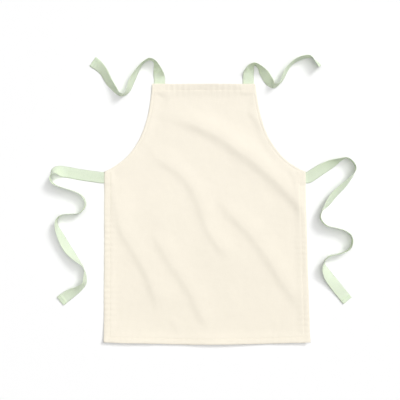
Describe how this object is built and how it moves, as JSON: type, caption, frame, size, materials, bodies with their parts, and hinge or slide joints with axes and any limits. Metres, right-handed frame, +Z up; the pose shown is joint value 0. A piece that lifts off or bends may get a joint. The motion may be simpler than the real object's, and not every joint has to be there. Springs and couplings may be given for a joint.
{
  "type": "bib apron",
  "caption": "Child's bib apron in cream canvas with hemmed edges and pale green twill-tape ties at the neck and waist, lying flat.",
  "frame": {"origin": "on the table under the middle of the panel", "axes": "+Y from the bottom hem to the bib, +Z up out of the apron's face, +X to the right of the apron as it lies face up"},
  "size_m": [0.685, 0.6459, 0.025],
  "materials": {
    "cotton_canvas": "plain-woven cotton canvas, matte",
    "twill_tape": "herringbone cotton twill tape, matte",
    "cream_thread": "cotton sewing thread",
    "green_thread": "cotton sewing thread"
  },
  "bodies": {
    "panel": {"body_panel": "cotton_canvas", "top_hem_stitching": "cream_thread", "bottom_hem_stitching": "cream_thread", "armhole_stitching_left": "cream_thread", "armhole_stitching_right": "cream_thread", "side_hem_stitching_left": "cream_thread", "side_hem_stitching_right": "cream_thread", "neck_tie_left_sewn_end": "twill_tape", "neck_tie_right_sewn_end": "twill_tape", "waist_tie_left_sewn_end": "twill_tape", "waist_tie_right_sewn_end": "twill_tape", "neck_tie_left_box_stitch": "cream_thread", "neck_tie_right_box_stitch": "cream_thread", "waist_tie_left_box_stitch": "cream_thread", "waist_tie_right_box_stitch": "cream_thread"},
    "neck_tie_left": {"neck_tie_left": "twill_tape", "neck_tie_left_end_stitch": "green_thread"},
    "neck_tie_right": {"neck_tie_right": "twill_tape", "neck_tie_right_end_stitch": "green_thread"},
    "waist_tie_left": {"waist_tie_left": "twill_tape", "waist_tie_left_end_stitch": "green_thread"},
    "waist_tie_right": {"waist_tie_right": "twill_tape", "waist_tie_right_end_stitch": "green_thread"}
  },
  "joints": [
    {"name": "neck_tie_left_fold", "type": "hinge", "parent": "panel", "child": "neck_tie_left", "pos_m": [-0.1065, 0.3031, 0.00095], "axis": [0.8988, 0.4384, 0], "range_deg": [0, 100]},
    {"name": "neck_tie_right_fold", "type": "hinge", "parent": "panel", "child": "neck_tie_right", "pos_m": [0.0925, 0.30205, 0.00095], "axis": [0.9272, -0.3746, 0], "range_deg": [0, 115]},
    {"name": "waist_tie_left_fold", "type": "hinge", "parent": "panel", "child": "waist_tie_left", "pos_m": [-0.23517, 0.0815, 0.00095], "axis": [0, 1, 0], "range_deg": [0, 140]},
    {"name": "waist_tie_right_fold", "type": "hinge", "parent": "panel", "child": "waist_tie_right", "pos_m": [0.22622, 0.0815, 0.00095], "axis": [0, -1, 0], "range_deg": [0, 130]}
  ]
}
